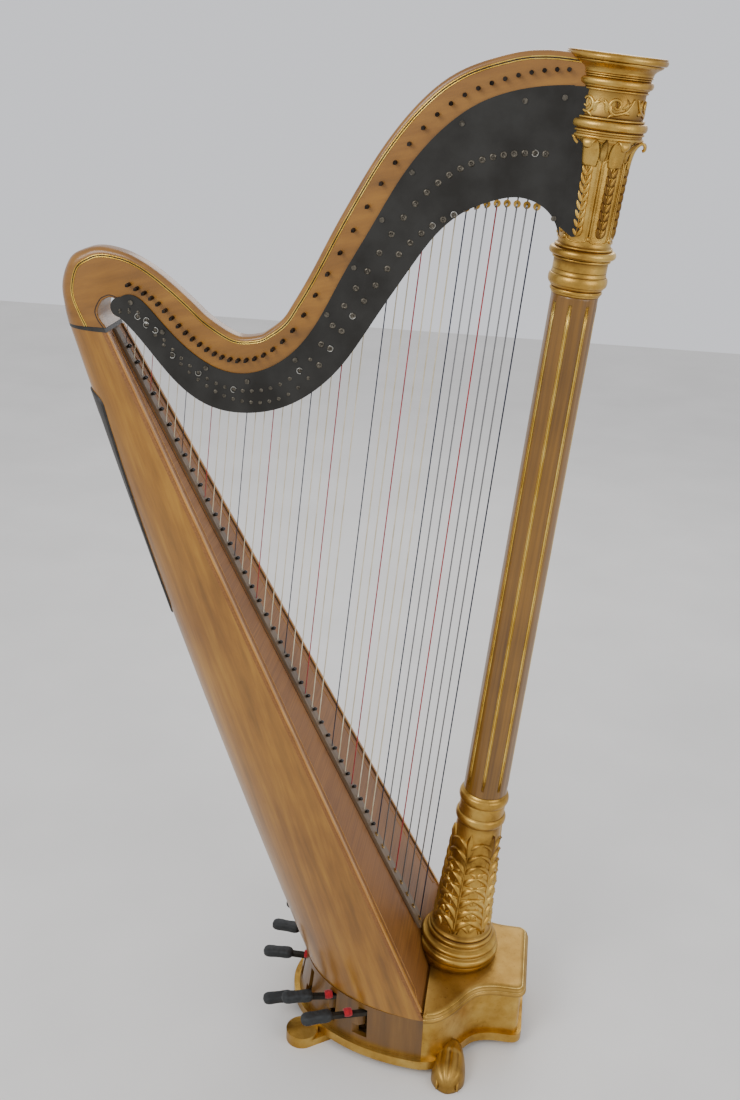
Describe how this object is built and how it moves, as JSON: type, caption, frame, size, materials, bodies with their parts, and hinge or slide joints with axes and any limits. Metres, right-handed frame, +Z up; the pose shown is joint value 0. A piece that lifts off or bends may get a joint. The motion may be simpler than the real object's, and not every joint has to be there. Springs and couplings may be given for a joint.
{
  "type": "pedal harp",
  "caption": "Double-action pedal harp with a gilt carved column, maple soundbox, crooked neck with dark action plates, gut and wire strings, and pedals at the rear of its base.",
  "frame": {"origin": "on the floor, below the middle of the whole instrument", "axes": "+X towards the column, -X towards the player and the pedals, +Y to the player's left, +Z up"},
  "size_m": [0.9182, 0.4518, 1.7653],
  "materials": {
    "gilded_wood": "water gilding over gesso, burnished",
    "maple": "golden varnished maple",
    "spruce": "varnished spruce, cross grain",
    "ebonised_wood": "black stain, satin",
    "brown_wood": "dark walnut stain",
    "dark_wood": "plain inside timber",
    "rib_wood": "varnished beech strip",
    "bronze_plate": "dark bronzed brass",
    "brass": "polished",
    "steel": "bright steel",
    "dark_steel": "blackened steel",
    "rubber": "matt black",
    "gut": "polished gut",
    "gut_red": "red dyed gut",
    "gut_black": "blue-black dyed gut",
    "wound_wire": "wound wire",
    "peg_black": "polished black"
  },
  "bodies": {
    "frame": {"base_floor": "dark_wood", "plinth_wall": "gilded_wood", "plinth_moulding": "gilded_wood", "plinth_top": "gilded_wood", "pedal_box": "brown_wood", "pedal_box_moulding": "gilded_wood", "front_feet": "gilded_wood", "rear_feet": "gilded_wood", "column_base": "gilded_wood", "column_shaft": "brown_wood", "capital": "gilded_wood", "capital_disc": "gilded_wood", "neck": "maple", "action_plate_right": "bronze_plate", "action_plate_left": "bronze_plate", "plate_screws": "steel", "tuning_pins": "steel", "bridge_pins": "steel", "discs_natural": "brass", "discs_sharp": "brass", "disc_spindles": "steel", "body_shell": "maple", "sound_hole_frame": "ebonised_wood", "seam_band": "ebonised_wood", "soundboard": "spruce", "string_rib": "rib_wood", "soundboard_edging": "maple", "string_pegs": "peg_black", "string_eyelets": "brass", "strings_gut": "gut", "strings_red": "gut_red", "strings_black": "gut_black", "strings_wire": "wound_wire", "pedal_axle": "steel", "axle_brackets": "steel", "pedal_springs": "steel", "body_ribs": "dark_wood", "rod_guide": "dark_wood"},
    "pedal_A": {"pedal_arm_A": "dark_steel", "pedal_shoe_A": "rubber"},
    "rod_A": {"pedal_rod_A": "steel"},
    "pedal_G": {"pedal_arm_G": "dark_steel", "pedal_shoe_G": "rubber"},
    "rod_G": {"pedal_rod_G": "steel"},
    "pedal_F": {"pedal_arm_F": "dark_steel", "pedal_shoe_F": "rubber"},
    "rod_F": {"pedal_rod_F": "steel"},
    "pedal_E": {"pedal_arm_E": "dark_steel", "pedal_shoe_E": "rubber"},
    "rod_E": {"pedal_rod_E": "steel"},
    "pedal_B": {"pedal_arm_B": "dark_steel", "pedal_shoe_B": "rubber"},
    "rod_B": {"pedal_rod_B": "steel"},
    "pedal_C": {"pedal_arm_C": "dark_steel", "pedal_shoe_C": "rubber"},
    "rod_C": {"pedal_rod_C": "steel"},
    "pedal_D": {"pedal_arm_D": "dark_steel", "pedal_shoe_D": "rubber"},
    "rod_D": {"pedal_rod_D": "steel"}
  },
  "joints": [
    {"name": "pedal_A_hinge", "type": "hinge", "parent": "frame", "child": "pedal_A", "pos_m": [0.3345, -0.021, 0.084], "axis": [0, -1, 0], "range_deg": [0, 11.06]},
    {"name": "rod_A_slide", "type": "slide", "parent": "frame", "child": "rod_A", "axis": [-0.0758, 0, -0.9971], "range_m": [0, 0.01463]},
    {"name": "pedal_G_hinge", "type": "hinge", "parent": "frame", "child": "pedal_G", "pos_m": [0.3345, -0.014, 0.084], "axis": [0, -1, 0], "range_deg": [0, 8.68]},
    {"name": "rod_G_slide", "type": "slide", "parent": "frame", "child": "rod_G", "axis": [-0.0758, 0, -0.9971], "range_m": [0, 0.01154]},
    {"name": "pedal_F_hinge", "type": "hinge", "parent": "frame", "child": "pedal_F", "pos_m": [0.3345, -0.007, 0.084], "axis": [0, -1, 0], "range_deg": [-7.39, 0]},
    {"name": "rod_F_slide", "type": "slide", "parent": "frame", "child": "rod_F", "axis": [-0.0758, 0, -0.9971], "range_m": [-0.00995, 0]},
    {"name": "pedal_E_hinge", "type": "hinge", "parent": "frame", "child": "pedal_E", "pos_m": [0.3345, 0, 0.084], "axis": [0, -1, 0], "range_deg": [0, 6.92]},
    {"name": "rod_E_slide", "type": "slide", "parent": "frame", "child": "rod_E", "axis": [-0.0758, 0, -0.9971], "range_m": [0, 0.00925]},
    {"name": "pedal_B_hinge", "type": "hinge", "parent": "frame", "child": "pedal_B", "pos_m": [0.3345, 0.007, 0.084], "axis": [0, -1, 0], "range_deg": [0, 6.92]},
    {"name": "rod_B_slide", "type": "slide", "parent": "frame", "child": "rod_B", "axis": [-0.0758, 0, -0.9971], "range_m": [0, 0.00925]},
    {"name": "pedal_C_hinge", "type": "hinge", "parent": "frame", "child": "pedal_C", "pos_m": [0.3345, 0.014, 0.084], "axis": [0, -1, 0], "range_deg": [0, 7.39]},
    {"name": "rod_C_slide", "type": "slide", "parent": "frame", "child": "rod_C", "axis": [-0.0758, 0, -0.9971], "range_m": [0, 0.00987]},
    {"name": "pedal_D_hinge", "type": "hinge", "parent": "frame", "child": "pedal_D", "pos_m": [0.3345, 0.021, 0.084], "axis": [0, -1, 0], "range_deg": [0, 8.68]},
    {"name": "rod_D_slide", "type": "slide", "parent": "frame", "child": "rod_D", "axis": [-0.0758, 0, -0.9971], "range_m": [0, 0.01154]}
  ],
  "couplings": [
    {"joint": "rod_A_slide", "follows": "pedal_A_hinge", "m_per_rad": 0.07477},
    {"joint": "rod_G_slide", "follows": "pedal_G_hinge", "m_per_rad": 0.07488},
    {"joint": "rod_F_slide", "follows": "pedal_F_hinge", "m_per_rad": 0.07563},
    {"joint": "rod_E_slide", "follows": "pedal_E_hinge", "m_per_rad": 0.07496},
    {"joint": "rod_B_slide", "follows": "pedal_B_hinge", "m_per_rad": 0.07496},
    {"joint": "rod_C_slide", "follows": "pedal_C_hinge", "m_per_rad": 0.07494},
    {"joint": "rod_D_slide", "follows": "pedal_D_hinge", "m_per_rad": 0.07488}
  ]
}
